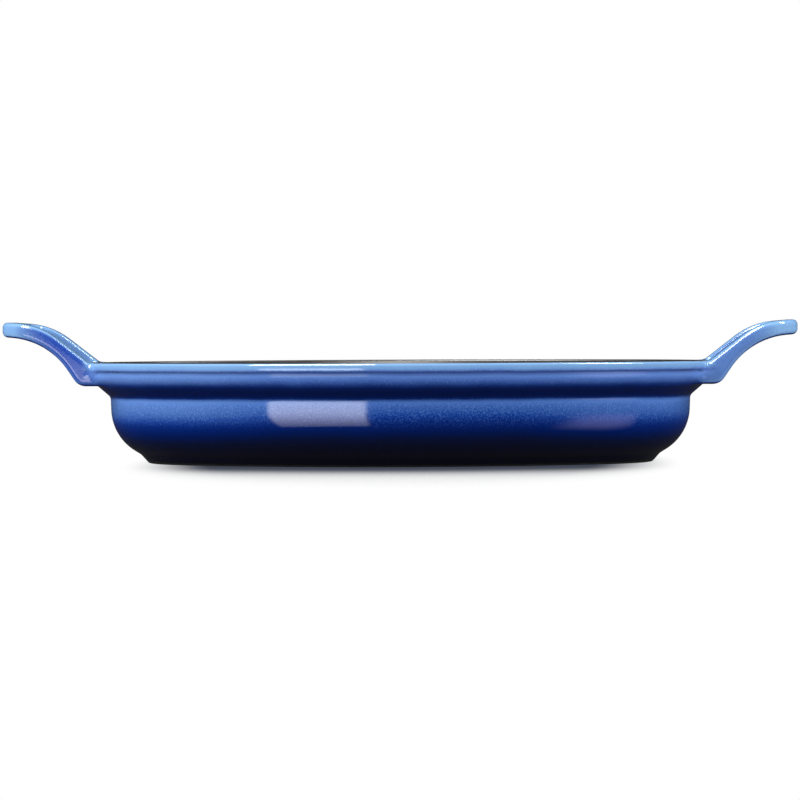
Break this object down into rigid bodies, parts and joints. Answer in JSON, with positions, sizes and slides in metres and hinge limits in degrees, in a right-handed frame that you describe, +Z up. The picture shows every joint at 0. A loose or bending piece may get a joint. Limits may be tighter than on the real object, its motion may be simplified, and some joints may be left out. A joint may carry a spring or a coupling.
{
  "type": "gratin dish",
  "caption": "Shallow oval gratin dish in enamelled cast iron, with a flared rim, a foot ring and raised loop handles on its ends.",
  "frame": {"origin": "centre of the foot ring's contact plane, on the surface that the dish stands on", "axes": "+Z up, +X along the length of the oval towards the right handle, +Y across the width"},
  "size_m": [0.4532, 0.2418, 0.0808],
  "materials": {
    "cast_iron": "raw cast iron, ground on the foot ring",
    "gloss_enamel": "glossy vitreous enamel, shaded from light blue at the rim to near black navy at the foot",
    "matte_enamel": "matte black vitreous enamel with a fine grain",
    "satin_enamel": "satin black vitreous enamel",
    "base_enamel": "dark navy vitreous enamel, semi-gloss"
  },
  "bodies": {
    "root": {"iron_bowl": "cast_iron", "iron_handle_left": "cast_iron", "iron_handle_right": "cast_iron", "exterior_enamel": "gloss_enamel", "rim_enamel": "matte_enamel", "interior_enamel": "satin_enamel", "base_enamel": "base_enamel"}
  },
  "joints": []
}
